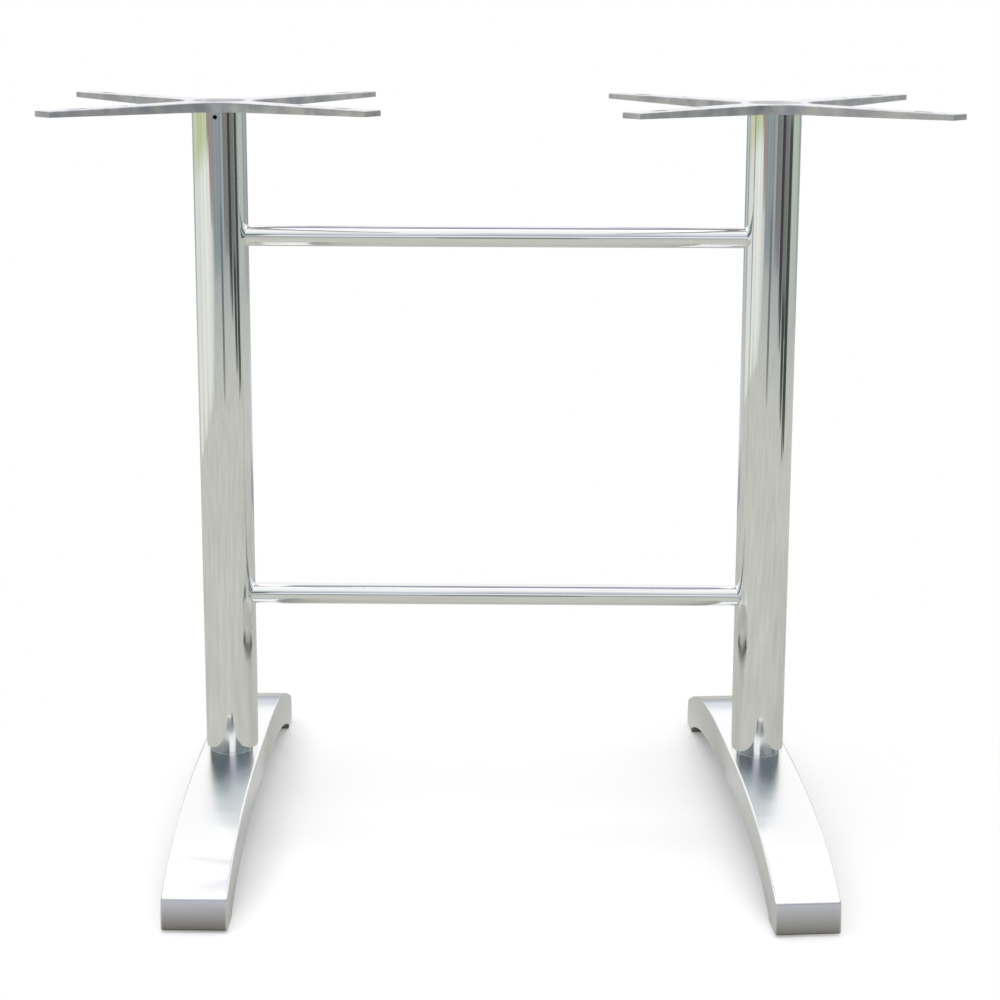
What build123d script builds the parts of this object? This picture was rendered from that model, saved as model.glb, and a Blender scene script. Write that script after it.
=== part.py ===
"""Bar table base: two tube columns on arched cast feet, tied by two crossbars, a four-arm spider on each.

Millimetres, +Z up. The origin is on the floor, midway between the columns. +X runs along the
crossbars, from the left column to the right one, and -Y is the front.
"""
import os
from math import cos, radians, sin

from build123d import *

os.makedirs("parts", exist_ok=True)

# Overall layout
overall_height = 1065
column_spacing = 780
upper_crossbar_height = 874
lower_crossbar_height = 345

# Feet and spiders are clamped on round seats, so each can be turned on its column: as put together,
# one foot and one spider stand a few degrees off square (counter-clockwise from above, 0 is square)
foot_turns = {"left": 0, "right": 4}
spider_turns = {"left": 5, "right": 0}

# Columns
column_diameter = 76
column_wall = 2

# Arched feet
foot_length = 750
foot_width = 88
foot_height = 110
seat_margin = 7
crown_angle = 8.5
end_slope = 28
nose_radius = 6
toe_slope = 75
toe_radius = 130
toe_face_height = 7
toe_edge_radius = 4
sole_length = 45
skirt_depth = 50
skirt_wall = 6
roof_thickness = 7
foot_edge_radius = 3
rib_thickness = 5
rib_depth = 16
rib_spacing = 90
cross_rib_count = 6
boss_diameter = 40
boss_length = 23
locating_ring_height = 8
locating_ring_wall = 5

# Glide pads under the toes
glide_thickness = 2.5
glide_width = 52
glide_length = 32
glide_corner = 8
glide_edge = 0.6
stem_diameter = 8
stem_length = 12

# Spiders
arm_reach = 301
arm_tip_width = 30
arm_root_width = 42
arm_tip_thickness = 8
arm_tip_corner = 5
arm_edge_radius = 1.5
hub_thickness = 14
hub_fillet = 46
dish_diameter = 75
spigot_length = 32
spigot_wall = 7
spigot_floor = 8
inner_hole_reach = 165
inner_hole_diameter = 7
slot_reach = 245
slot_length = 30
slot_width = 7

# Crossbars and the plugs in their ends
crossbar_diameter = 30
crossbar_wall = 1.5
plug_length = 30

# Tie rods with their nuts and washers
rod_diameter = 10
rod_end_length = 5
rod_chamfer = 1
nut_across_flats = 17
nut_height = 8
washer_diameter = 30
washer_thickness = 2.5

# Crossbar bolts and their saddle washers
bolt_diameter = 8
bolt_length = 35
bolt_across_flats = 13
bolt_head_height = 5.3
saddle_width = 20
saddle_thickness = 4

# Set screws that stop the spiders turning
set_screw_diameter = 6
set_screw_length = 8
set_screw_drop = 7
set_screw_sink = 1
set_screw_key = 3
set_screw_key_depth = 3

# Clearances, each on the radius or per side
fit_clearance = 0.3
cope_clearance = 0.05
hole_clearance = 0.5
thread_clearance = 0.1

# Sizes that follow from those above
left_x = -column_spacing / 2
right_x = column_spacing / 2
column_radius = column_diameter / 2
bore_radius = column_radius - column_wall
hub_underside = overall_height - hub_thickness
column_length = hub_underside - foot_height
spigot_radius = bore_radius - fit_clearance
cup_radius = spigot_radius - spigot_wall
cup_bottom = hub_underside - spigot_length
cup_floor = cup_bottom + spigot_floor
rod_hole_radius = rod_diameter / 2 + hole_clearance
boss_bottom = foot_height - roof_thickness - boss_length
sole_height = glide_thickness
toe_inner = foot_length / 2 - sole_length
glide_y = foot_length / 2 - sole_length / 2 - toe_edge_radius / 2
seat_half = column_radius + seat_margin
set_screw_height = hub_underside - set_screw_drop
crossbar_bore = crossbar_diameter - 2 * crossbar_wall
set_screw_hole_radius = set_screw_diameter / 2 + thread_clearance

# The foot's top is a flat seat, a wide crown arc and a tighter shoulder arc, each tangent to the next,
# and then the tight nose and the slightly bulging toe. The two arc radii are the ones that bring the toe
# down to its short upright face at the foot's end, so they solve run and fall together.
crown_sin, crown_cos = sin(radians(crown_angle)), cos(radians(crown_angle))
slope_sin, slope_cos = sin(radians(end_slope)), cos(radians(end_slope))
toe_sin, toe_cos = sin(radians(toe_slope)), cos(radians(toe_slope))
nose_run = nose_radius * (toe_sin - slope_sin) + toe_radius * (1 - toe_sin)
nose_fall = nose_radius * (slope_cos - toe_cos) + toe_radius * toe_cos
arch_run = foot_length / 2 - seat_half - nose_run
arch_fall = foot_height - sole_height - toe_face_height - nose_fall
shoulder_run = slope_sin - crown_sin
shoulder_fall = crown_cos - slope_cos
arch_determinant = crown_sin * shoulder_fall - (1 - crown_cos) * shoulder_run
crown_radius = (arch_run * shoulder_fall - arch_fall * shoulder_run) / arch_determinant
shoulder_radius = (crown_sin * arch_fall - (1 - crown_cos) * arch_run) / arch_determinant


def arch_half(inset):
    """Draw half the arch, from the middle of the seat outward, at a depth below the foot's top."""
    seat = Line((0, foot_height - inset), (seat_half, foot_height - inset))
    crown = JernArc(seat @ 1, seat % 1, crown_radius - inset, -crown_angle)
    return JernArc(crown @ 1, crown % 1, shoulder_radius - inset, crown_angle - end_slope)


def under_arch(x, inset):
    """Side view of everything under the arch at that depth, from toe to toe and down past the floor."""
    with BuildSketch(Plane.YZ.offset(x)) as region:
        with BuildLine():
            end = arch_half(inset) @ 1
            Polyline(end, (end.X, -foot_height), (0, -foot_height))
            mirror(about=Plane.YZ)
        make_face()
        Rectangle(2 * toe_inner, 4 * foot_height, mode=Mode.INTERSECT)
    return region.sketch


def rib_band(x):
    """Side view of a strip that hangs from the foot's roof, from toe to toe, as deep as a rib."""
    return under_arch(x, roof_thickness / 2) - under_arch(x, roof_thickness + rib_depth)


def cross_ribs(x):
    """Side view of that strip, kept only where a cross rib stands."""
    with BuildSketch(Plane.YZ.offset(x)) as uprights:
        with GridLocations(rib_spacing, 0, cross_rib_count, 1):
            Rectangle(rib_thickness, 4 * foot_height)
    return rib_band(x) & uprights.sketch


def turned(piece, x, turn):
    """Turn a finished piece about the axis of the column it belongs to."""
    return piece.rotate(Axis((x, 0, 0), (0, 0, 1)), turn)


def make_foot(x, turn):
    """Arched casting: a channel open below, with solid toes, ribs, a boss and a ring that locates the column."""
    cavity_half = foot_width / 2 - skirt_wall
    with BuildPart() as foot:
        with BuildSketch(Plane.YZ.offset(x)):
            with BuildLine():
                shoulder = arch_half(0)
                nose = JernArc(shoulder @ 1, shoulder % 1, nose_radius, end_slope - toe_slope)
                toe = JernArc(nose @ 1, nose % 1, toe_radius, toe_slope - 90)
                toe_end = (toe @ 1).X
                Polyline(toe @ 1, (toe_end, sole_height), (0, sole_height))
                mirror(about=Plane.YZ)
            make_face()
        extrude(amount=foot_width / 2, both=True)
        toe_edges = foot.edges().filter_by(Axis.X).group_by(Axis.Z)[0]
        fillet(toe_edges.filter_by(lambda edge: abs(edge.center().Y) > toe_inner), toe_edge_radius)
        side_edges = foot.faces().filter_by(Axis.X).edges()
        fillet(side_edges.filter_by(lambda edge: edge.center().Z > sole_height + 0.1), foot_edge_radius)
        extrude(under_arch(x, skirt_depth), amount=foot_width, both=True, mode=Mode.SUBTRACT)
        extrude(under_arch(x, roof_thickness), amount=cavity_half, both=True, mode=Mode.SUBTRACT)
        extrude(rib_band(x), amount=rib_thickness / 2, both=True)
        extrude(cross_ribs(x), amount=cavity_half, both=True)
        with BuildSketch(Plane.XY.offset(boss_bottom)):
            with Locations((x, 0)):
                Circle(boss_diameter / 2)
        extrude(amount=boss_length + roof_thickness / 2)
        with BuildSketch(Plane.XY.offset(foot_height)):
            with Locations((x, 0)):
                Circle(spigot_radius)
                Circle(spigot_radius - locating_ring_wall, mode=Mode.SUBTRACT)
        extrude(amount=locating_ring_height)
        with BuildSketch(Plane.XY.offset(boss_bottom)):
            with Locations((x, 0)):
                Circle(rod_hole_radius)
        extrude(amount=foot_height, mode=Mode.SUBTRACT)
        with BuildSketch(Plane.XY.offset(sole_height)):
            with Locations((x, -glide_y), (x, glide_y)):
                Circle(stem_diameter / 2 + thread_clearance)
        extrude(amount=stem_length + hole_clearance, mode=Mode.SUBTRACT)
    return turned(foot.part, x, turn)


def make_column(x, facing):
    """Polished tube with a bolt hole for each crossbar and one set screw hole near its top.

    Both columns are the same part: facing turns the right one half a turn.
    """
    with BuildPart() as column:
        with BuildSketch(Plane.XY.offset(foot_height)):
            with Locations((x, 0)):
                Circle(column_radius)
                Circle(bore_radius, mode=Mode.SUBTRACT)
        extrude(amount=column_length)
        for height in (lower_crossbar_height, upper_crossbar_height):
            with BuildSketch(Plane(origin=(x, 0, height), z_dir=(facing, 0, 0))):
                Circle(bolt_diameter / 2 + hole_clearance)
            extrude(amount=column_diameter, mode=Mode.SUBTRACT)
        with BuildSketch(Plane(origin=(x, 0, set_screw_height), z_dir=(0, -facing, 0))):
            Circle(set_screw_hole_radius)
        extrude(amount=column_diameter, mode=Mode.SUBTRACT)
    return column.part


def make_spider(x, facing, turn):
    """Cast spider: a plan of four blended arms, thinned toward the tips, with a dished hub and a spigot.

    The arms lie on the diagonals, turned by that much, and the set screw hole stays in line with the column's.
    """
    first_arm = 45 + turn
    axis_plane = Plane(origin=(x, 0, 0), x_dir=(1, 0, 0), z_dir=(0, -1, 0))
    column_axis = Axis((x, 0, 0), (0, 0, 1))
    reach_limit = arm_reach + arm_tip_width
    with BuildPart() as spider:
        with BuildSketch(Plane(origin=(x, 0, hub_underside))) as plan:
            with PolarLocations(0, 4, start_angle=first_arm):
                Polygon(
                    (0, -arm_root_width / 2),
                    (arm_reach, -arm_tip_width / 2),
                    (arm_reach, arm_tip_width / 2),
                    (0, arm_root_width / 2),
                    align=None,
                )
            corners = plan.vertices().sort_by_distance((0, 0, 0))
            fillet(corners[:4], hub_fillet)
            fillet(corners[-8:], arm_tip_corner)
        extrude(amount=hub_thickness)
        with BuildSketch(axis_plane):
            with BuildLine():
                Polyline(
                    (0, overall_height),
                    (reach_limit, overall_height),
                    (reach_limit, overall_height - arm_tip_thickness),
                    (arm_reach, overall_height - arm_tip_thickness),
                    (column_radius, hub_underside),
                    (0, hub_underside),
                    close=True,
                )
            make_face()
        revolve(axis=column_axis, mode=Mode.INTERSECT)
        top_face = spider.faces().sort_by(Axis.Z)[-1]
        fillet(top_face.edges(), arm_edge_radius)
        with BuildSketch(Plane(origin=(x, 0, cup_bottom))):
            Circle(spigot_radius)
        extrude(amount=spigot_length + hub_thickness / 2)
        with BuildSketch(axis_plane):
            with BuildLine():
                Polyline(
                    (0, overall_height),
                    (dish_diameter / 2, overall_height),
                    (cup_radius, hub_underside),
                    (cup_radius, cup_floor),
                    (0, cup_floor),
                    close=True,
                )
            make_face()
        revolve(axis=column_axis, mode=Mode.SUBTRACT)
        with BuildSketch(Plane(origin=(x, 0, cup_bottom))):
            Circle(rod_hole_radius)
        extrude(amount=spigot_length, mode=Mode.SUBTRACT)
        with BuildSketch(Plane(origin=(x, 0, set_screw_height), z_dir=(0, -facing, 0))):
            Circle(set_screw_hole_radius)
        extrude(amount=column_diameter, mode=Mode.SUBTRACT)
        with BuildSketch(Plane(origin=(x, 0, hub_underside))):
            with PolarLocations(inner_hole_reach, 4, start_angle=first_arm):
                Circle(inner_hole_diameter / 2)
            with PolarLocations(slot_reach, 4, start_angle=first_arm):
                SlotOverall(slot_length, slot_width)
        extrude(amount=hub_thickness, mode=Mode.SUBTRACT)
    return spider.part


def column_outlines(height):
    """Circles that trace both columns, a little below a crossbar, to cope its ends with."""
    with BuildSketch(Plane.XY.offset(height - crossbar_diameter)) as outlines:
        with Locations((left_x, 0), (right_x, 0)):
            Circle(column_radius + cope_clearance)
    return outlines.sketch


def make_crossbar(height):
    """Round tube from column to column, both ends coped to sit against the tubes."""
    with BuildPart() as crossbar:
        with BuildSketch(Plane(origin=(0, 0, height), z_dir=(1, 0, 0))):
            Circle(crossbar_diameter / 2)
            Circle(crossbar_bore / 2, mode=Mode.SUBTRACT)
        extrude(amount=column_spacing / 2, both=True)
        extrude(column_outlines(height), amount=2 * crossbar_diameter, mode=Mode.SUBTRACT)
    return crossbar.part


def make_plug(x, facing, height):
    """Threaded plug pressed into one end of a crossbar, coped with it."""
    with BuildPart() as plug:
        with BuildSketch(Plane(origin=(x, 0, height), z_dir=(facing, 0, 0))):
            Circle(crossbar_bore / 2 - thread_clearance)
            Circle(bolt_diameter / 2 + thread_clearance, mode=Mode.SUBTRACT)
        extrude(amount=column_radius + plug_length)
        extrude(column_outlines(height), amount=2 * crossbar_diameter, mode=Mode.SUBTRACT)
    return plug.part


def make_glide(x, y, turn):
    """Nylon pad with a stem pushed up into the toe, turned with its foot."""
    with BuildPart() as glide:
        with BuildSketch(Plane(origin=(x, y, 0))):
            RectangleRounded(glide_width, glide_length, glide_corner)
        extrude(amount=glide_thickness)
        chamfer(glide.faces().sort_by(Axis.Z)[0].edges(), glide_edge)
        with BuildSketch(Plane(origin=(x, y, glide_thickness))):
            Circle(stem_diameter / 2)
        extrude(amount=stem_length)
    return turned(glide.part, x, turn)


def make_tie_rod(x):
    """Threaded rod down the column, from under the foot's boss to above the nut in the spider's cup."""
    rod_bottom = boss_bottom - washer_thickness - nut_height - rod_end_length
    rod_top = cup_floor + washer_thickness + nut_height + rod_end_length
    with BuildPart() as rod:
        with BuildSketch(Plane(origin=(x, 0, rod_bottom))):
            Circle(rod_diameter / 2)
        extrude(amount=rod_top - rod_bottom)
        chamfer(rod.edges().filter_by(GeomType.CIRCLE), rod_chamfer)
    return rod.part


def make_washers(bottom):
    """One flat washer on each tie rod."""
    with BuildPart() as washers:
        with BuildSketch(Plane.XY.offset(bottom)):
            with Locations((left_x, 0), (right_x, 0)):
                Circle(washer_diameter / 2)
                Circle(rod_hole_radius, mode=Mode.SUBTRACT)
        extrude(amount=washer_thickness)
    return washers.part


def make_nuts(bottom):
    """One hexagon nut on each tie rod."""
    with BuildPart() as nuts:
        with BuildSketch(Plane.XY.offset(bottom)):
            with Locations((left_x, 0), (right_x, 0)):
                RegularPolygon(nut_across_flats / 2, 6, major_radius=False)
                Circle(rod_diameter / 2 + thread_clearance, mode=Mode.SUBTRACT)
        extrude(amount=nut_height)
    return nuts.part


def bolt_plane(x, facing, height, radius):
    """Plane across a crossbar's bolt, at a distance from the column's axis, looking toward the crossbar."""
    return Plane(origin=(x + facing * radius, 0, height), z_dir=(facing, 0, 0))


columns = ((left_x, 1), (right_x, -1))
crossbar_ends = [(x, facing, height) for height in (lower_crossbar_height, upper_crossbar_height)
                 for x, facing in columns]
saddle_face = bore_radius - saddle_thickness

with BuildPart() as crossbar_saddle_washers:
    for x, facing, height in crossbar_ends:
        with BuildSketch(bolt_plane(x, facing, height, saddle_face)):
            Rectangle(saddle_width, saddle_width)
            Circle(bolt_diameter / 2 + hole_clearance, mode=Mode.SUBTRACT)
        extrude(amount=saddle_thickness)
    with BuildSketch():
        with Locations((left_x, 0), (right_x, 0)):
            Circle(bore_radius - cope_clearance)
    extrude(amount=overall_height, mode=Mode.INTERSECT)

with BuildPart() as crossbar_bolts:
    for x, facing, height in crossbar_ends:
        with BuildSketch(bolt_plane(x, facing, height, saddle_face - bolt_head_height)):
            RegularPolygon(bolt_across_flats / 2, 6, major_radius=False)
        extrude(amount=bolt_head_height)
        with BuildSketch(bolt_plane(x, facing, height, saddle_face)):
            Circle(bolt_diameter / 2)
        extrude(amount=bolt_length)

screw_outer = column_radius - set_screw_sink
with BuildPart() as spider_set_screws:
    for x, facing in columns:
        with BuildSketch(Plane(origin=(x, -facing * screw_outer, set_screw_height), z_dir=(0, -facing, 0))):
            Circle(set_screw_diameter / 2)
        extrude(amount=-set_screw_length)
        with BuildSketch(Plane(origin=(x, -facing * screw_outer, set_screw_height), z_dir=(0, -facing, 0))):
            RegularPolygon(set_screw_key / 2, 6, major_radius=False)
        extrude(amount=-set_screw_key_depth, mode=Mode.SUBTRACT)

pieces = {
    "upper_crossbar": make_crossbar(upper_crossbar_height),
    "lower_crossbar": make_crossbar(lower_crossbar_height),
    "crossbar_saddle_washers": crossbar_saddle_washers.part,
    "crossbar_bolts": crossbar_bolts.part,
    "spider_set_screws": spider_set_screws.part,
    "rod_top_washers": make_washers(cup_floor),
    "rod_top_nuts": make_nuts(cup_floor + washer_thickness),
    "rod_bottom_washers": make_washers(boss_bottom - washer_thickness),
    "rod_bottom_nuts": make_nuts(boss_bottom - washer_thickness - nut_height),
}
for side, (x, facing) in zip(("left", "right"), columns):
    pieces[f"{side}_foot"] = make_foot(x, foot_turns[side])
    pieces[f"{side}_column"] = make_column(x, facing)
    pieces[f"{side}_spider"] = make_spider(x, facing, spider_turns[side])
    pieces[f"{side}_tie_rod"] = make_tie_rod(x)
    pieces[f"upper_{side}_plug"] = make_plug(x, facing, upper_crossbar_height)
    pieces[f"lower_{side}_plug"] = make_plug(x, facing, lower_crossbar_height)
    pieces[f"{side}_front_glide"] = make_glide(x, -glide_y, foot_turns[side])
    pieces[f"{side}_rear_glide"] = make_glide(x, glide_y, foot_turns[side])

for name, piece in pieces.items():
    piece.label = name
    export_step(piece, f"parts/{name}.step")
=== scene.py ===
# %% [markdown]
# A bar table base in polished and cast aluminium.
# The measured solids of the base are already there, in metres, with the floor at zero, the crossbars
# along X and the front at -Y. This lesson dresses them: it sets up a small studio, replaces the polished
# tubes, the rods and the nuts with surfaces worked out by numpy, and gives each material the finish that
# its making leaves.

# %% Load the measured base
from math import pi, radians

import bpy
import numpy as np
from mathutils import Matrix, Vector


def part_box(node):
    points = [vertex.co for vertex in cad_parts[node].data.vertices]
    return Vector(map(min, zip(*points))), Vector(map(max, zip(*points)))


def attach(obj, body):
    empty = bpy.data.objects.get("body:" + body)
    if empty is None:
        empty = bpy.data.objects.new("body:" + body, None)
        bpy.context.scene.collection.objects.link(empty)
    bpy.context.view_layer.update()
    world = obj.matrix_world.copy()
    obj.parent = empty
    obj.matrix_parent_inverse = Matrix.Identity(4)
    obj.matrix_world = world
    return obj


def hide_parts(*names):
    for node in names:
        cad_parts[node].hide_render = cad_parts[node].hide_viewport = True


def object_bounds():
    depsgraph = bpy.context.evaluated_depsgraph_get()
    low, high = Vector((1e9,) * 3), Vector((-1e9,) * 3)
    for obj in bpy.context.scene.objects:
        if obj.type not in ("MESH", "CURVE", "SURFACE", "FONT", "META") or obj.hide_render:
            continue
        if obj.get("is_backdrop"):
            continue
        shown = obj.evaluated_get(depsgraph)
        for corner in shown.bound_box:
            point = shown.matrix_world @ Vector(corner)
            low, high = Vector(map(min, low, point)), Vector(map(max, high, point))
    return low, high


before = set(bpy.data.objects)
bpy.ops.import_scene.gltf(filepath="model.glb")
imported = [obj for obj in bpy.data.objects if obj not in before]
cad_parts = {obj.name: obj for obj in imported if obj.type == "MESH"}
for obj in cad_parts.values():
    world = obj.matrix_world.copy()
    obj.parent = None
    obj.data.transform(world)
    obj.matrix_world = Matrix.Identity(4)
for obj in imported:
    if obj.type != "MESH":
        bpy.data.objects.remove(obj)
cad_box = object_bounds()
scene = bpy.context.scene
scene.view_settings.view_transform = "Standard"
mm = 0.001
print("solids:", len(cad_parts), "size:", [round(x, 3) for x in cad_box[1] - cad_box[0]])

# %% [markdown]
# The camera stands almost in front of the middle, above the height of the base, and looks down ten degrees.
# It could simply be aimed at the middle of the base, but then the columns would lean together too much:
# their slight convergence fixes the tilt, and a lens shift then brings the base into the frame.

# %% Camera
camera_place = Vector((0.031, -2.774, 1.245))
camera_turn = radians(-0.38)
camera_tilt = radians(10.39)
camera_roll = radians(0.22)
sensor_width, lens_length = 36, 70.9  # both in mm
lens_shift = (-0.0046, -0.168)
camera = bpy.data.objects.new("camera", bpy.data.cameras.new("camera"))
camera.location = camera_place
aim = Matrix.Rotation(-camera_turn, 4, "Z") @ Matrix.Rotation(pi / 2 - camera_tilt, 4, "X")
camera.rotation_euler = (aim @ Matrix.Rotation(camera_roll, 4, "Z")).to_euler()
camera.data.sensor_width = sensor_width
camera.data.lens = lens_length
camera.data.shift_x, camera.data.shift_y = lens_shift
scene.collection.objects.link(camera)
scene.camera = camera
print("camera height:", round(camera_place.z, 3), "m")

# %% [markdown]
# Every finish below is a small tree of shader nodes. Two helpers keep them short: one turns a colour as
# a painter writes it into the linear numbers that light is added up in, and one adds a node, sets its
# properties and either sets or links its inputs.

# %% Colour and node helpers
def linear(hex_colour):
    """Turn an sRGB hex colour into linear red, green, blue and full opacity."""
    srgb = np.array([int(hex_colour[i:i + 2], 16) for i in (1, 3, 5)]) / 255
    low, high = srgb / 12.92, ((srgb + 0.055) / 1.055) ** 2.4
    return (*np.where(srgb <= 0.04045, low, high).tolist(), 1.0)


def add_node(tree, kind, properties={}, inputs={}):
    """Add one shader node, set its properties, then set each input or link it to another node's output."""
    node = tree.nodes.new("ShaderNode" + kind)
    for name, value in properties.items():
        setattr(node, name, value)
    for name, value in inputs.items():
        if isinstance(value, bpy.types.NodeSocket):
            tree.links.new(value, node.inputs[name])
        else:
            node.inputs[name].default_value = value
    return node


def new_finish(name):
    """Start a material with an empty tree of nodes."""
    finish = bpy.data.materials.new(name)
    finish.use_nodes = True
    finish.node_tree.nodes.clear()
    return finish, finish.node_tree


print("mid grey is", [round(x, 3) for x in linear("#808080")])

# %% [markdown]
# A surface here is a grid of points: rows of one parameter, columns of another. The faces join each
# point to its neighbours, and where a grid closes on itself, as round a tube, the last point joins the
# first. Numbering the faces as whole arrays keeps this quick for grids of any size.

# %% Grids to meshes
def grid_faces(rows, columns, wrap_rows=False, wrap_columns=False):
    """Number the quads of a grid of points, joining the last row or column to the first where it wraps."""
    r = np.arange(rows if wrap_rows else rows - 1)[:, None]
    c = np.arange(columns if wrap_columns else columns - 1)[None, :]
    next_r, next_c = (r + 1) % rows, (c + 1) % columns
    corners = (r * columns + c, r * columns + next_c, next_r * columns + next_c, next_r * columns + c)
    return np.stack(np.broadcast_arrays(*corners), axis=-1).reshape(-1, 4)


def new_mesh(name, points, faces, caps=(), smooth_angle=35):
    """Make a mesh object at the origin, smooth except across edges sharper than the angle in degrees.

    Each cap is one more face: the numbers of the points round a flat end.
    """
    mesh = bpy.data.meshes.new(name)
    mesh.from_pydata(points.reshape(-1, 3).tolist(), [], faces.tolist() + [cap.tolist() for cap in caps])
    mesh.shade_smooth()
    mesh.set_sharp_from_angle(angle=radians(smooth_angle))
    mesh.update()
    piece = bpy.data.objects.new(name, mesh)
    scene.collection.objects.link(piece)
    return piece


def lay_map(piece, around, along, full_turn):
    """Give each corner of each face its place on the unrolled sheet in metres: around the tube, along it.

    Where a face crosses the seam, the corners past it go one full turn on, so that the map doesn't run back.
    """
    corners = np.empty(len(piece.data.loops), dtype=np.int32)
    piece.data.loops.foreach_get("vertex_index", corners)
    u, v = around[corners].reshape(-1, 4), along[corners].reshape(-1, 4)
    u = np.where(u.max(axis=1, keepdims=True) - u > full_turn / 2, u + full_turn, u)
    sheet = piece.data.uv_layers.new(name="unrolled")
    sheet.data.foreach_set("uv", np.stack([u, v], axis=-1).astype(np.float32).ravel())


print("faces of a closed 4 by 6 ring:", len(grid_faces(4, 6, wrap_columns=True)))

# %% [markdown]
# The floor is plain paper, white to the camera, that fades into the white background a few steps away
# and keeps the soft shadow of the feet. Polished tube is mostly a picture of the ground round it, so what
# the metal sees is a warm light grey floor that turns blue grey with distance. That gives the lower half of
# the columns its tone, and the slow darkening on their way up. The grey drifts in patches, because an even
# ground would make the tubes look painted.

# %% Floor
floor_half = 40.0
camera_fade = (0.3, 0.9)  # metres from the middle between which the paper turns white for the camera
mirror_fade = (0.9, 2.0)  # where the mirrors stop seeing shadows on it
far_ground = (2.2, 8.0)  # where the ground that they see turns blue grey
patch_width = 0.35
corners = floor_half * np.array([[-1, -1, 0], [1, -1, 0], [1, 1, 0], [-1, 1, 0]])
floor = new_mesh("floor", corners, np.array([[0, 1, 2, 3]]))
floor_paper, tree = new_finish("white_paper_floor")
ray = add_node(tree, "LightPath")
place = add_node(tree, "TexCoord")
patches = add_node(tree, "TexNoise", inputs={
    "Vector": place.outputs["Object"], "Scale": 1 / patch_width, "Detail": 2.0})
near_ground, far_tone = [
    add_node(tree, "Mix", {"data_type": "RGBA"}, {
        0: patches.outputs[0], 6: linear(dark), 7: linear(light)}).outputs[2]
    for dark, light in (("#A9AAA4", "#D4D5CD"), ("#B3B4AD", "#DBDCD5"))]
paper = add_node(tree, "Mix", {"data_type": "RGBA"}, {
    0: ray.outputs["Is Glossy Ray"], 6: linear("#FFFFFF"), 7: near_ground})
lit_paper = add_node(tree, "BsdfDiffuse", inputs={"Color": paper.outputs[2]})
distance = add_node(tree, "VectorMath", {"operation": "LENGTH"}, {0: place.outputs["Object"]})
for_camera, for_mirrors, farther = [
    add_node(tree, "MapRange", {"interpolation_type": "SMOOTHSTEP"}, {
        "Value": distance.outputs["Value"], "From Min": near, "From Max": far}).outputs["Result"]
    for near, far in (camera_fade, mirror_fade, far_ground)]
ground = add_node(tree, "Mix", {"data_type": "RGBA"}, {0: farther, 6: far_tone, 7: linear("#929EA2")})
tone = add_node(tree, "Mix", {"data_type": "RGBA"}, {
    0: ray.outputs["Is Camera Ray"], 6: ground.outputs[2], 7: (1, 1, 1, 1)})
background = add_node(tree, "Emission", inputs={"Color": tone.outputs[2], "Strength": 1.0})
mirrors = add_node(tree, "Math", {"operation": "ADD", "use_clamp": True}, {
    0: ray.outputs["Is Glossy Ray"], 1: ray.outputs["Is Transmission Ray"]})
to_camera = add_node(tree, "Math", {"operation": "MULTIPLY"}, {
    0: ray.outputs["Is Camera Ray"], 1: for_camera})
whiten = add_node(tree, "Math", {"operation": "MULTIPLY_ADD", "use_clamp": True}, {
    0: mirrors.outputs[0], 1: for_mirrors, 2: to_camera.outputs[0]})
surface = add_node(tree, "MixShader", inputs={
    0: whiten.outputs[0], 1: lit_paper.outputs[0], 2: background.outputs[0]})
add_node(tree, "OutputMaterial", inputs={"Surface": surface.outputs[0]})
floor.data.materials.append(floor_paper)
floor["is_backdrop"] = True
print("floor half width:", floor_half, "m, nodes in its paper:", len(tree.nodes))

# %% [markdown]
# The studio is white all round. For camera, mirror and glass rays the white has strength one; for light
# on matt surfaces it is weaker, and a wide soft lamp overhead makes up the rest, so that shadows fall
# straight down. The lamp itself is kept out of the mirrors, where it would burn a hole.

# %% World and lamp
studio_fill = 0.66
lamp_size = (3.6, 3.0)
lamp_place = (-0.4, -0.6, 3.0)
lamp_power = 62
world = bpy.data.worlds.new("white_studio")
scene.world = world
world.use_nodes = True
tree = world.node_tree
tree.nodes.clear()
ray = add_node(tree, "LightPath")
seen_clear = add_node(tree, "Math", {"operation": "ADD", "use_clamp": True}, {
    0: ray.outputs["Is Camera Ray"], 1: ray.outputs["Is Glossy Ray"]})
seen = add_node(tree, "Math", {"operation": "ADD", "use_clamp": True}, {
    0: seen_clear.outputs[0], 1: ray.outputs["Is Transmission Ray"]})
strength = add_node(tree, "MapRange", inputs={
    "Value": seen.outputs[0], "To Min": studio_fill, "To Max": 1.0})
white = add_node(tree, "Background", inputs={"Color": (1, 1, 1, 1), "Strength": strength.outputs["Result"]})
add_node(tree, "OutputWorld", inputs={"Surface": white.outputs[0]})
lamp = bpy.data.objects.new("overhead_softbox", bpy.data.lights.new("overhead_softbox", "AREA"))
lamp.data.shape = "RECTANGLE"
lamp.data.size, lamp.data.size_y = lamp_size
lamp.data.energy = lamp_power
lamp.location = lamp_place
lamp.visible_glossy = False
scene.collection.objects.link(lamp)
print("fill:", studio_fill, "lamp:", lamp_power, "W")

# %% [markdown]
# Polished metal in an all white room would vanish. A photographer stands grey and black cards round the
# object, out of the picture, and the tubes draw them as long vertical streaks. Most cards here stand
# upright along an arc round the base. Plain ones would end in one clean line, so these are streaked from
# top to bottom and torn along the lower edge, and the streaks run out unevenly.
# Low cards draw the columns, and two low ones at the back tint the far ends of the feet. High bands show
# in the foot tops, in front of the columns, and a lilac grey card overhead draws the thin line along the
# top of the crossbars. Above it hangs a bright ceiling, which burns the foot tops to white. The camera
# never sees the cards and they cast no shadow: they are there for the mirrors alone.

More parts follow.
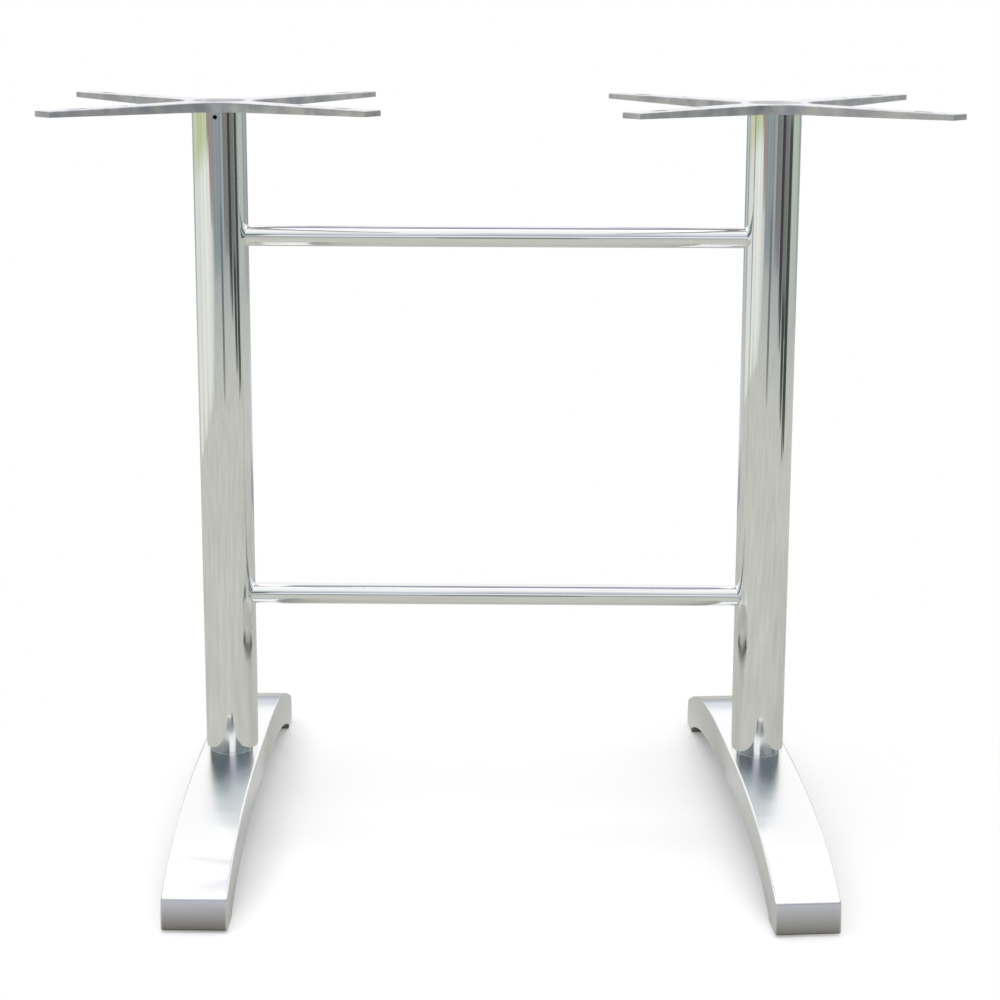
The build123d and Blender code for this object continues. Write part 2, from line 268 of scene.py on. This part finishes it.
# %% Cards for the mirrors
streak_width, streak_length = 0.45, 2.5
streak_tones = (0.78, 1.16)
torn_edge = 0.9
soft_edge = 0.12
ceiling_glow = 1.4
card_points = 25
no_seam = 1000  # a turn so long that an open card's map is left as it is
noise_span = {"From Min": 0.3, "From Max": 0.7}  # the values that noise seldom leaves


def hang_card(card, hex_colour, across, up, strength=1.0):
    """Give a card its streaky colour, torn lower edge and soft top, and hide it from all but the mirrors."""
    lay_map(card, across, up, no_seam)
    card_paper, tree = new_finish(card.name)
    sheet = add_node(tree, "UVMap", {"uv_map": "unrolled"})
    stretched = add_node(tree, "Mapping", inputs={
        "Vector": sheet.outputs[0], "Scale": (1 / streak_width, 1 / streak_length, 1)})
    streaks = add_node(tree, "TexNoise", inputs={"Vector": stretched.outputs[0], "Scale": 1.0, "Detail": 2.0})
    value = add_node(tree, "MapRange", inputs={
        "Value": streaks.outputs[0], **noise_span, "To Min": streak_tones[0], "To Max": streak_tones[1]})
    colour = add_node(tree, "HueSaturation", inputs={
        "Color": linear(hex_colour), "Value": value.outputs["Result"]})
    height = add_node(tree, "SeparateXYZ", inputs={0: sheet.outputs[0]})
    torn = add_node(tree, "Math", {"operation": "MULTIPLY_ADD"}, {
        0: streaks.outputs[0], 1: torn_edge, 2: height.outputs["Y"]})
    there = add_node(tree, "MapRange", {"interpolation_type": "SMOOTHSTEP"}, {
        "Value": torn.outputs[0],
        "From Min": 0.5 * torn_edge - soft_edge, "From Max": 0.5 * torn_edge + soft_edge})
    shown = add_node(tree, "MapRange", {"interpolation_type": "SMOOTHSTEP"}, {
        "Value": height.outputs["Y"], "From Min": float(up.max()), "From Max": float(up.max()) - soft_edge,
        "To Max": there.outputs["Result"]})
    glow = add_node(tree, "Emission", inputs={"Color": colour.outputs[0], "Strength": strength})
    clear = add_node(tree, "BsdfTransparent")
    card_surface = add_node(tree, "MixShader", inputs={
        0: shown.outputs["Result"], 1: clear.outputs[0], 2: glow.outputs[0]})
    add_node(tree, "OutputMaterial", inputs={"Surface": card_surface.outputs[0]})
    card.data.materials.append(card_paper)
    card.visible_camera = card.visible_diffuse = card.visible_shadow = card.visible_transmission = False
    card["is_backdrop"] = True
    return card


def standing_card(name, hex_colour, azimuths, distances, lower, top):
    """Sweep an upright strip along a spiral: angle a places a point at its distance times (sin a, -cos a),
    the distance changes evenly with the angle, and the height runs from the lower edge to the top."""
    angle = np.radians(np.linspace(*azimuths, card_points))[:, None]
    distance = np.linspace(*distances, card_points)[:, None]
    height = np.array([[lower, top]])
    ring = np.broadcast_arrays(distance * np.sin(angle), -distance * np.cos(angle), height)
    across = np.broadcast_to(distance * angle, ring[0].shape)
    up = np.broadcast_to(height - lower, ring[0].shape)
    card = new_mesh(name, np.stack(ring, axis=-1), grid_faces(card_points, 2))
    return hang_card(card, hex_colour, across.ravel(), up.ravel())


def level_card(name, hex_colour, half_width, depths, height, past_tear, strength=1.0):
    """Hang a rectangle that faces down, from -half_width to half_width across and between two depths.

    Its map starts so far up that no side of it is torn.
    """
    near, far = depths
    corners = np.array([[-half_width, near, height], [half_width, near, height],
                        [half_width, far, height], [-half_width, far, height]])
    card = new_mesh(name, corners, np.array([[0, 3, 2, 1]]))
    return hang_card(card, hex_colour, corners[:, 0], corners[:, 1] + past_tear, strength)


# Each line gives a name, a colour, two azimuths from the front in degrees, the distances there, the lower
# edge and the top, in metres.
cards = [standing_card(*card) for card in (
    ("light_card", "#E6E8E3", (-128, -44), (2.5, 3.3), 0.0, 0.80),
    ("light_card_end", "#DADCD8", (-44, -32), (3.6, 4.2), 0.0, 0.72),
    ("green_card", "#C8D0AB", (-130, -52), (3.3, 3.6), 0.30, 0.95),
    ("pinkish_card", "#9F938F", (-52, -27), (3.3, 3.3), 0.50, 0.95),
    ("blue_grey_card", "#8E9A9E", (-27, 3), (3.35, 3.35), 0.33, 0.95),
    ("pale_grey_card", "#A2A8AC", (3, 14), (3.35, 3.35), 0.30, 0.95),
    ("low_grey_card", "#7C7D80", (-4, 4.5), (2.95, 2.95), 0.0, 0.62),
    ("mid_grey_card", "#838380", (14, 36), (3.3, 3.3), 0.36, 0.95),
    ("far_dark_card", "#48464C", (36, 49), (4.3, 4.0), 0.0, 0.95),
    ("olive_card", "#7A7D7A", (49, 68), (3.3, 3.3), 0.20, 0.95),
    ("low_dark_card", "#4A494E", (54, 66), (3.1, 3.0), 0.0, 0.42),
    ("tall_dark_card", "#424A49", (69, 83), (2.6, 2.8), 0.0, 0.95),
    ("green_grey_card", "#BAC2B8", (83, 125), (3.2, 3.2), 0.25, 0.95),
    ("rear_left_card", "#A3AAAD", (136, 160), (3.3, 3.3), 0.2, 0.95),
    ("rear_right_card", "#C3C7C8", (202, 222), (3.0, 3.0), 0.1, 0.95),
    ("rear_lilac_card", "#A9A9B4", (146, 214), (1.6, 1.6), -0.4, 0.17),
    ("rear_blue_card", "#CFD4DA", (146, 214), (1.8, 1.8), -0.25, 0.38),
    ("left_dark_band", "#566166", (-110, -13), (3.4, 3.4), 1.1, 2.05),
    ("left_mid_band", "#97A3A8", (-110, -13), (3.45, 3.45), 1.7, 2.5),
    ("left_pale_band", "#CFD7DB", (-110, -13), (3.5, 3.5), 2.2, 3.1),
    ("lilac_band", "#B4B4C2", (-13, 13), (3.4, 3.4), 1.45, 2.3),
    ("pale_lilac_band", "#D6D9E4", (-13, 13), (3.5, 3.5), 1.9, 3.1),
    ("right_dark_band", "#626E73", (13, 110), (3.4, 3.4), 1.1, 2.05),
    ("right_mid_band", "#9AA5AA", (13, 110), (3.45, 3.45), 1.7, 2.5),
    ("right_pale_band", "#D3DADE", (13, 110), (3.5, 3.5), 2.2, 3.1),
    ("high_pale_band", "#E2E7EA", (-110, 110), (3.6, 3.6), 2.7, 3.9),
    ("high_white_band", "#F0F2F4", (-110, 110), (3.7, 3.7), 3.4, 4.8),
)]
cards.append(level_card("overhead_card", "#AAA8BE", 0.64, (0.12, 1.5), 3.1, torn_edge))
cards.append(level_card("ceiling_card", "#FFFFFF", 3.0, (-0.6, 1.7), 3.4, 2 * torn_edge, ceiling_glow))
print("cards:", len(cards))

# %% [markdown]
# The columns are drawn tube, mirror polished along its length. A tube could be a plain revolved profile,
# but each one has a hole for the set screw near its top, and a hole cut afterwards would crease the
# mirror. So the wall is a grid of arc length and height with one square block of cells left out. Inside
# the block, rings of points run from the square to the round edge of the hole. The saw cuts at both ends
# are broken by a small bevel, which shows as a thin joint line on the foot.

# %% Columns
column_low, column_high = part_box("left_column")
column_radius = 0.5 * (column_high.y - column_low.y)
column_wall = 2 * mm
end_bevel = 0.2 * mm
screw_low, screw_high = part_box("spider_set_screws")
screw_height = 0.5 * (screw_low.z + screw_high.z)
screw_clearance = 0.1 * mm
screw_hole_radius = 0.5 * (screw_high.z - screw_low.z) + screw_clearance
column_segments = 192
rows_below_hole = 24
block = 8  # cells left out for the hole, each way
hole_rings = 4
full_turn = 2 * pi * column_radius
cell = full_turn / column_segments


def strip(loops):
    """Quads between each closed loop of point numbers and the next."""
    loops = np.stack(loops)
    return loops.reshape(-1)[grid_faces(*loops.shape, wrap_columns=True)]


def drilled_sheet(low, high):
    """Flat grid of arc length and height with a block left out, and rings from the block to the hole's edge.

    Returns the points, the faces, and the numbers of the points along the bottom, the top and the hole.
    """
    arc = cell * (np.arange(column_segments) - column_segments // 2)
    near_hole = screw_height + cell * np.linspace(-block / 2, block / 2, block + 1)
    below = np.linspace(low, near_hole[0], rows_below_hole + 1)[:-1]
    heights = np.concatenate([below, near_hole, [high]])
    flat = np.stack(np.meshgrid(heights, arc, indexing="ij")[::-1], axis=-1)
    faces = grid_faces(len(heights), column_segments, wrap_columns=True)
    row, column = np.divmod(faces[:, 0], column_segments)
    first_row, first_column = len(below), column_segments // 2 - block // 2
    in_rows = (row >= first_row) & (row < first_row + block)
    in_columns = (column >= first_column) & (column < first_column + block)
    faces = faces[~(in_rows & in_columns)]
    steps = np.arange(block)
    loop_column = np.concatenate([steps, np.full(block, block), block - steps, np.zeros(block, int)])
    loop_row = np.concatenate([np.zeros(block, int), steps, np.full(block, block), block - steps])
    loop = (first_row + loop_row) * column_segments + first_column + loop_column
    square = flat.reshape(-1, 2)[loop]
    outward = square - (0, screw_height)
    edge = (0, screw_height) + outward * screw_hole_radius / np.linalg.norm(outward, axis=1, keepdims=True)
    share = np.linspace(0, 1, hole_rings + 1)[1:, None, None]
    rings = square + (edge - square) * share
    count = flat.shape[0] * flat.shape[1]
    ring_points = count + np.arange(rings[..., 0].size).reshape(hole_rings, -1)
    ring_numbers = np.concatenate([loop[None], ring_points])
    points = np.concatenate([flat.reshape(-1, 2), rings.reshape(-1, 2)])
    bottom, top = np.arange(column_segments), count - column_segments + np.arange(column_segments)
    return points, np.concatenate([faces, strip(ring_numbers)]), (bottom, top, ring_numbers[-1])


def make_column(side, facing):
    """Roll the flat sheets up: the angle is arc length over the outer radius, counted from the hole."""
    low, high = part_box(side + "_column")
    centre = 0.5 * (low.x + high.x)
    outer, faces, (bottom, top, hole) = drilled_sheet(low.z + end_bevel, high.z - end_bevel)
    inner = drilled_sheet(low.z, high.z)[0]
    rims = np.concatenate([inner[bottom], inner[top]])
    flat = np.concatenate([outer, inner, rims])
    radius = np.repeat([column_radius, column_radius - column_wall, column_radius - end_bevel],
                       [len(outer), len(inner), len(rims)])
    angle = flat[:, 0] / column_radius
    x, y = centre + facing * radius * np.sin(angle), -facing * radius * np.cos(angle)
    points = np.stack([x, y, flat[:, 1]], axis=-1)
    inside = len(outer)
    low_rim = 2 * inside + np.arange(column_segments)
    joins = [strip([bottom + inside, low_rim, bottom]), strip([top, low_rim + column_segments, top + inside]),
             strip([hole, hole + inside])]
    faces = np.concatenate([faces, faces[:, ::-1] + inside, *joins])
    piece = new_mesh(side + "_polished_column", points, faces)
    lay_map(piece, flat[:, 0], flat[:, 1], full_turn)
    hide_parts(side + "_column")
    return piece


columns = [make_column("left", 1), make_column("right", -1)]
print("cell:", round(cell / mm, 2), "mm, hole:", round(2 * screw_hole_radius / mm, 2), "mm, faces:",
      len(columns[0].data.polygons))

# %% [markdown]
# The crossbars are thinner tube of the same kind, sawn and then coped at both ends to sit on the round
# columns. The cope needs no cutting here: each line along the tube simply stops where it meets the
# column, so the end's place along X is a formula of the angle round the tube.

# %% Crossbars
bar_wall = 1.5 * mm
bar_segments = 96
bar_rows = 9
cope_gap = 0.05 * mm
column_x = 0.5 * (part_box("right_column")[0].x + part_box("right_column")[1].x)
cope_radius = column_radius + cope_gap


def make_crossbar(level):
    """Closed grid: rows run along the outside, round the end and back inside, columns round the tube.

    A point at angle t has y = -r sin t and height z = r cos t above the axis, and its line ends at
    x = column_x - sqrt(cope_radius^2 - y^2).
    """
    low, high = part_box(level + "_crossbar")
    radius = 0.5 * (high.y - low.y)
    along = np.linspace(-1, 1, bar_rows)[:, None]
    angle = 2 * pi * np.arange(bar_segments)[None, :] / bar_segments
    share = np.concatenate([along, along[::-1]])
    r = np.repeat([radius, radius - bar_wall], len(along))[:, None]
    y = -r * np.sin(angle)
    x = share * (column_x - np.sqrt(cope_radius ** 2 - y ** 2))
    z = 0.5 * (low.z + high.z) + r * np.cos(angle)
    faces = grid_faces(*x.shape, wrap_rows=True, wrap_columns=True)
    piece = new_mesh(level + "_polished_crossbar", np.stack([x, y, z], axis=-1), faces)
    lay_map(piece, (radius * angle + 0 * x).ravel(), x.ravel(), 2 * pi * radius)
    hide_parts(level + "_crossbar")
    return piece


crossbars = [make_crossbar("upper"), make_crossbar("lower")]
print("crossbar length:", round(crossbars[0].dimensions.x, 4), "m")

# %% [markdown]
# Inside each column a steel rod clamps foot, tube and spider together. Only its ends show, in the cup of
# the spider and under the foot, and those are threaded. A thread could be a profile swept along a helix,
# but its start and its run-out are then hard to close. Here it is one grid round the rod, whose radius
# follows a wave that climbs one pitch with each turn. The groove fades into the plain middle of the rod,
# and a cone bevels both ends.

# %% Tie rods
thread_pitch = 1.5 * mm
thread_depth = 0.9 * mm
thread_length = 18 * mm
run_out = 3 * mm
rod_bevel = 1 * mm
rod_segments = 40
rows_per_pitch = 24


def make_tie_rod(side):
    """Grid of height and angle: the radius drops below the crest by half the depth times 1 - cos(wave).

    The wave turns once for each pitch of height, less once for each turn of the angle. Near the ends the
    radius is at most that of a 45 degree cone.
    """
    low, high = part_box(side + "_tie_rod")
    crest = 0.5 * (high.y - low.y)
    from_end = np.arange(0, thread_length, thread_pitch / rows_per_pitch)
    height = np.concatenate([low.z + from_end, high.z - from_end[::-1]])[:, None]
    angle = 2 * pi * np.arange(rod_segments)[None, :] / rod_segments
    to_end = np.minimum(height - low.z, high.z - height)
    depth = thread_depth * np.clip((thread_length - to_end) / run_out, 0, 1)
    groove = 0.5 * depth * (1 - np.cos(2 * pi * height / thread_pitch - angle))
    radius = np.minimum(crest - groove, crest - rod_bevel + to_end)
    x = 0.5 * (low.x + high.x) + radius * np.cos(angle)
    points = np.stack(np.broadcast_arrays(x, radius * np.sin(angle), height), axis=-1)
    ring = np.arange(rod_segments)
    caps = (ring[::-1], radius.size - rod_segments + ring)
    piece = new_mesh(side + "_threaded_rod", points, grid_faces(*radius.shape, wrap_columns=True), caps)
    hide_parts(side + "_tie_rod")
    return piece


tie_rods = [make_tie_rod("left"), make_tie_rod("right")]
print("turns of thread at each end:", thread_length / thread_pitch, "faces:", len(tie_rods[0].data.polygons))

# %% [markdown]
# A nut is forged as a hexagon and then turned: a cone takes its six corners off above and below, which
# leaves the curved edge that every nut has. That edge needs no cutting here, because at each angle the
# height of the cone over the flat is a short formula.

# %% Nuts
nut_segments = 96
turned_face = 0.95
corner_slope = np.tan(radians(30))
lead_in = 0.6 * mm
bore_clearance = 0.1 * mm
nut_bore = 0.5 * (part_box("left_tie_rod")[1].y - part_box("left_tie_rod")[0].y) + bore_clearance


def make_nuts(level):
    """Closed section carried round each rod: out over the lower face, up the flats and back to the bore.

    At angle t from the middle of a flat, the flat lies at half the nut's width over cos t, and the cone
    takes off the slope times what reaches past the turned face.
    """
    low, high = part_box(f"rod_{level}_nuts")
    flat = 0.5 * (high.y - low.y)
    angle = 2 * pi * np.arange(nut_segments) / nut_segments
    hexagon = flat / np.cos(angle % (pi / 3) - pi / 6)
    face = turned_face * flat
    drop = corner_slope * (hexagon - face)
    mouth = nut_bore + lead_in
    r = np.stack(np.broadcast_arrays(nut_bore, mouth, face, hexagon, hexagon, face, mouth, nut_bore))
    z = np.stack(np.broadcast_arrays(low.z + lead_in, low.z, low.z, low.z + drop,
                                     high.z - drop, high.z, high.z, high.z - lead_in))
    nut = np.stack([r * np.cos(angle), r * np.sin(angle), z], axis=-1)
    faces = grid_faces(*r.shape, wrap_rows=True, wrap_columns=True)
    points = np.stack([nut - (column_x, 0, 0), nut + (column_x, 0, 0)])
    piece = new_mesh(f"turned_{level}_nuts", points, np.concatenate([faces, faces + r.size]), smooth_angle=25)
    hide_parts(f"rod_{level}_nuts")
    return piece


nuts = [make_nuts("top"), make_nuts("bottom")]
print("nuts across flats:", round(nuts[0].dimensions.y / mm, 2), "mm")

# %% [markdown]
# Drawn aluminium tube is polished with mops that run along it. It mirrors like chrome, slightly warmer,
# and the mops leave faint lines along its length. They are hundredths of a millimetre wide: here they are
# drawn two millimetres wide, so that they show from a few steps away.

# %% Polished tube
mop_line_width, mop_line_length = 2 * mm, 150 * mm
polished_tube, tree = new_finish("mop_polished_drawn_aluminium_tube")
sheet = add_node(tree, "UVMap", {"uv_map": "unrolled"})
stretched = add_node(tree, "Mapping", inputs={
    "Vector": sheet.outputs[0], "Scale": (1 / mop_line_width, 1 / mop_line_length, 1)})
lines = add_node(tree, "TexNoise", inputs={"Vector": stretched.outputs[0], "Scale": 1.0, "Detail": 2.0})
softness = add_node(tree, "MapRange", inputs={
    "Value": lines.outputs[0], **noise_span, "To Min": 0.035, "To Max": 0.065})
shader = add_node(tree, "BsdfPrincipled", inputs={
    "Base Color": linear("#F3F4F3"), "Metallic": 1.0, "Roughness": softness.outputs["Result"]})
add_node(tree, "OutputMaterial", inputs={"Surface": shader.outputs[0]})
for piece in columns + crossbars:
    piece.data.materials.append(polished_tube)
    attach(piece, "root")
print("polished pieces:", [piece.name for piece in columns + crossbars])

# %% [markdown]
# The feet are aluminium castings. The crown and the noses are ground on a belt along their length and then
# polished, so they mirror softly, and the belt lines spread each reflection sideways. The lines are drawn
# coarser than real ones, so that they show. The sides are only brushed satin, and the hollow below keeps
# the skin of the sand mould. A reflection is painted on the toes: painted shade of the ground, darker near
# the floor, turns to a pale lilac painted sky reflection at the nose. One material tells all these apart
# by the way the surface faces and by its height.

# %% Foot casting
belt_width, foot_belt_length = 1.5 * mm, 80 * mm
foot_grain = 2 * mm
# heights over which the painted toe reflection runs from painted shade to a pale painted sky
toe_reflection_low, toe_reflection_high = 4 * mm, 48 * mm
satin_roughness = 0.42
polish_fade = (0.75, 0.35)  # how far up the surface faces where polish starts and ends turning to satin
foot_metal, tree = new_finish("belt_polished_and_satin_cast_aluminium")
facing = add_node(tree, "NewGeometry")
normal = add_node(tree, "SeparateXYZ", inputs={0: facing.outputs["Normal"]})
sideways = add_node(tree, "Math", {"operation": "ABSOLUTE"}, {0: normal.outputs["X"]})
matt = add_node(tree, "MapRange", {"interpolation_type": "SMOOTHSTEP"}, {
    "Value": normal.outputs["Z"], "From Min": polish_fade[0], "From Max": polish_fade[1]})
place = add_node(tree, "TexCoord")
height = add_node(tree, "SeparateXYZ", inputs={0: place.outputs["Object"]})
# painted reflection on the toes: darker painted shade near the floor, a pale lilac painted sky higher up
toe_reflection_height = add_node(tree, "MapRange", inputs={
    "Value": height.outputs["Z"], "From Min": toe_reflection_low, "From Max": toe_reflection_high})
painted_toe_reflection = add_node(tree, "Mix", {"data_type": "RGBA"}, {
    0: toe_reflection_height.outputs["Result"], 6: linear("#908C85"), 7: linear("#F0F0FF")})
# plain brushed satin on the sides; on faces that look forward or back, the painted toe reflection
brushed_and_painted_toe = add_node(tree, "Mix", {"data_type": "RGBA"}, {
    0: sideways.outputs[0], 6: painted_toe_reflection.outputs[2], 7: linear("#F2F2F4")})
belt = add_node(tree, "Mapping", inputs={
    "Vector": place.outputs["Object"], "Scale": (1 / belt_width, 1 / foot_belt_length, 1 / belt_width)})
scratches = add_node(tree, "TexNoise", inputs={"Vector": belt.outputs[0], "Scale": 1.0, "Detail": 2.0})
grain = add_node(tree, "TexNoise", inputs={
    "Vector": place.outputs["Object"], "Scale": 1 / foot_grain, "Detail": 4.0})
soft_polish = add_node(tree, "MapRange", inputs={
    "Value": scratches.outputs[0], **noise_span, "To Min": 0.14, "To Max": 0.2})
roughness = add_node(tree, "Mix", {"data_type": "FLOAT"}, {
    0: matt.outputs["Result"], 2: soft_polish.outputs["Result"], 3: satin_roughness})
colour = add_node(tree, "Mix", {"data_type": "RGBA"}, {
    0: matt.outputs["Result"], 6: linear("#FDFDFE"), 7: brushed_and_painted_toe.outputs[2]})
grain_depth = add_node(tree, "Math", {"operation": "MULTIPLY"}, {
    0: matt.outputs["Result"], 1: grain.outputs[0]})
skin = add_node(tree, "Bump", inputs={
    "Height": grain_depth.outputs[0], "Strength": 0.25, "Distance": 0.3 * mm})
lengthwise = add_node(tree, "Tangent", {"direction_type": "RADIAL", "axis": "X"})
shader = add_node(tree, "BsdfPrincipled", inputs={
    "Base Color": colour.outputs[2], "Metallic": 1.0, "Roughness": roughness.outputs[0],
    "Normal": skin.outputs[0], "Anisotropic": 0.75, "Anisotropic Rotation": 0.25,
    "Tangent": lengthwise.outputs[0]})
add_node(tree, "OutputMaterial", inputs={"Surface": shader.outputs[0]})
print(foot_metal.name, "has", len(tree.nodes), "nodes")

# %% [markdown]
# The spiders are castings too. Their flat tops are belt ground so that the table top lies level on them,
# and everything else keeps a blasted skin: a greyer, matter metal, whose tone drifts in patches a few
# centimetres wide, where the melt flowed and cooled.

# %% Spider casting
spider_belt_length = 40 * mm
spider_grain = 1.5 * mm
flow_patch = 30 * mm
ground_rise = (0.85, 0.98)  # how far up the surface faces where the ground top starts and is complete
spider_metal, tree = new_finish("ground_and_blasted_cast_aluminium")
facing = add_node(tree, "NewGeometry")
normal = add_node(tree, "SeparateXYZ", inputs={0: facing.outputs["Normal"]})
ground = add_node(tree, "MapRange", {"interpolation_type": "SMOOTHSTEP"}, {
    "Value": normal.outputs["Z"], "From Min": ground_rise[0], "From Max": ground_rise[1]})
place = add_node(tree, "TexCoord")
belt = add_node(tree, "Mapping", inputs={
    "Vector": place.outputs["Object"],
    "Scale": (1 / spider_belt_length, 1 / belt_width, 1 / spider_belt_length)})
scratches = add_node(tree, "TexNoise", inputs={"Vector": belt.outputs[0], "Scale": 1.0, "Detail": 2.0})
grain = add_node(tree, "TexNoise", inputs={
    "Vector": place.outputs["Object"], "Scale": 1 / spider_grain, "Detail": 4.0})
ground_softness = add_node(tree, "MapRange", inputs={
    "Value": scratches.outputs[0], **noise_span, "To Min": 0.18, "To Max": 0.28})
roughness = add_node(tree, "Mix", {"data_type": "FLOAT"}, {
    0: ground.outputs["Result"], 2: satin_roughness, 3: ground_softness.outputs["Result"]})
streaky = add_node(tree, "Mix", {"data_type": "RGBA"}, {
    0: scratches.outputs[0], 6: linear("#CFCFDD"), 7: linear("#FFFFFF")})
flow = add_node(tree, "TexNoise", inputs={
    "Vector": place.outputs["Object"], "Scale": 1 / flow_patch, "Detail": 3.0})
flow_tone = add_node(tree, "MapRange", inputs={"Value": flow.outputs[0], "From Min": 0.35, "From Max": 0.65})
cast_skin = add_node(tree, "Mix", {"data_type": "RGBA"}, {
    0: flow_tone.outputs["Result"], 6: linear("#BEBCC6"), 7: linear("#DFDEDA")})
colour = add_node(tree, "Mix", {"data_type": "RGBA"}, {
    0: ground.outputs["Result"], 6: cast_skin.outputs[2], 7: streaky.outputs[2]})
skin = add_node(tree, "Bump", inputs={"Height": grain.outputs[0], "Strength": 0.2, "Distance": 0.25 * mm})
shader = add_node(tree, "BsdfPrincipled", inputs={
    "Base Color": colour.outputs[2], "Metallic": 1.0, "Roughness": roughness.outputs[0],
    "Normal": skin.outputs[0]})
add_node(tree, "OutputMaterial", inputs={"Surface": shader.outputs[0]})
print(spider_metal.name, "has", len(tree.nodes), "nodes")

# %% [markdown]
# The plugs in the crossbar ends are turned from bar, which leaves fine rings about their axis. They catch
# the light as bands, and are drawn coarser than real ones.

# %% Turned plug
ring_scale = 6 * mm
turned_plug, tree = new_finish("turned_aluminium_plug")
place = add_node(tree, "TexCoord")
rings = add_node(tree, "TexWave", {"bands_direction": "X"}, {
    "Vector": place.outputs["Object"], "Scale": 1 / ring_scale, "Distortion": 0.3})
softness = add_node(tree, "MapRange", inputs={"Value": rings.outputs["Fac"], "To Min": 0.22, "To Max": 0.38})
shader = add_node(tree, "BsdfPrincipled", inputs={
    "Base Color": linear("#DCDDDD"), "Metallic": 1.0, "Roughness": softness.outputs["Result"]})
add_node(tree, "OutputMaterial", inputs={"Surface": shader.outputs[0]})
print(turned_plug.name, "has", len(tree.nodes), "nodes")

# %% [markdown]
# Rods, nuts, washers and bolts are bright zinc plated: a bluish grey whose brightness drifts in small
# patches, where the bath laid the zinc down unevenly.

# %% Zinc plate
zinc_patch = 5 * mm
zinc_plate, tree = new_finish("bright_zinc_plated_steel")
place = add_node(tree, "TexCoord")
patches = add_node(tree, "TexNoise", inputs={
    "Vector": place.outputs["Object"], "Scale": 1 / zinc_patch, "Detail": 3.0})
colour = add_node(tree, "Mix", {"data_type": "RGBA"}, {
    0: patches.outputs[0], 6: linear("#BFC4CB"), 7: linear("#D2D5D8")})
softness = add_node(tree, "MapRange", inputs={"Value": patches.outputs[0], "To Min": 0.22, "To Max": 0.38})
shader = add_node(tree, "BsdfPrincipled", inputs={
    "Base Color": colour.outputs[2], "Metallic": 1.0, "Roughness": softness.outputs["Result"]})
add_node(tree, "OutputMaterial", inputs={"Surface": shader.outputs[0]})
for piece in tie_rods + nuts:
    piece.data.materials.append(zinc_plate)
    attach(piece, "root")
print("plated pieces:", [piece.name for piece in tie_rods + nuts])

# %% [markdown]
# The set screws have a thin black oxide on the steel, near black with a dull sheen. The glides are black
# nylon from a spark-eroded mould, matt with a fine even grain.

# %% Black screw and black nylon
oxide_bloom = 1 * mm
nylon_grain = 0.8 * mm
black_oxide, tree = new_finish("black_oxide_steel_screw")
place = add_node(tree, "TexCoord")
bloom = add_node(tree, "TexNoise", inputs={
    "Vector": place.outputs["Object"], "Scale": 1 / oxide_bloom, "Detail": 3.0})
softness = add_node(tree, "MapRange", inputs={"Value": bloom.outputs[0], "To Min": 0.4, "To Max": 0.6})
shader = add_node(tree, "BsdfPrincipled", inputs={
    "Base Color": linear("#202123"), "Metallic": 1.0, "Roughness": softness.outputs["Result"]})
add_node(tree, "OutputMaterial", inputs={"Surface": shader.outputs[0]})
print(black_oxide.name, "has", len(tree.nodes), "nodes")

black_nylon, tree = new_finish("moulded_black_nylon")
place = add_node(tree, "TexCoord")
grain = add_node(tree, "TexNoise", inputs={
    "Vector": place.outputs["Object"], "Scale": 1 / nylon_grain, "Detail": 3.0})
softness = add_node(tree, "MapRange", inputs={"Value": grain.outputs[0], "To Min": 0.45, "To Max": 0.65})
skin = add_node(tree, "Bump", inputs={"Height": grain.outputs[0], "Strength": 0.3, "Distance": 0.1 * mm})
shader = add_node(tree, "BsdfPrincipled", inputs={
    "Base Color": linear("#1E1E1F"), "IOR": 1.53, "Roughness": softness.outputs["Result"],
    "Normal": skin.outputs[0]})
add_node(tree, "OutputMaterial", inputs={"Surface": shader.outputs[0]})
print(black_nylon.name, "has", len(tree.nodes), "nodes")

# %% [markdown]
# The castings, fixings and glides keep their measured solids, which are already exact. Each one only
# changes its plain material for the finish above that its name calls for.

# %% Finishes on the solids
finish_by_word = {"foot": foot_metal, "spider": spider_metal, "plug": turned_plug,
                  "bolts": zinc_plate, "washers": zinc_plate, "screws": black_oxide, "glide": black_nylon}
replaced = ("left_column", "right_column", "upper_crossbar", "lower_crossbar",
            "left_tie_rod", "right_tie_rod", "rod_top_nuts", "rod_bottom_nuts")
for name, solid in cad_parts.items():
    if name not in replaced:
        words = [word for word in finish_by_word if word in name.split("_")]
        solid.material_slots[0].material = finish_by_word[words[-1]]
        print(name, "->", solid.material_slots[0].material.name)

# %% [markdown]
# The dressed base has to be as large as the measured one. The box round everything is measured once more
# and how much it has grown over the first is printed.

visual_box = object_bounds()
growth = (visual_box[1] - visual_box[0]) - (cad_box[1] - cad_box[0])
print("grown by:", [round(x / mm, 2) for x in growth], "mm")
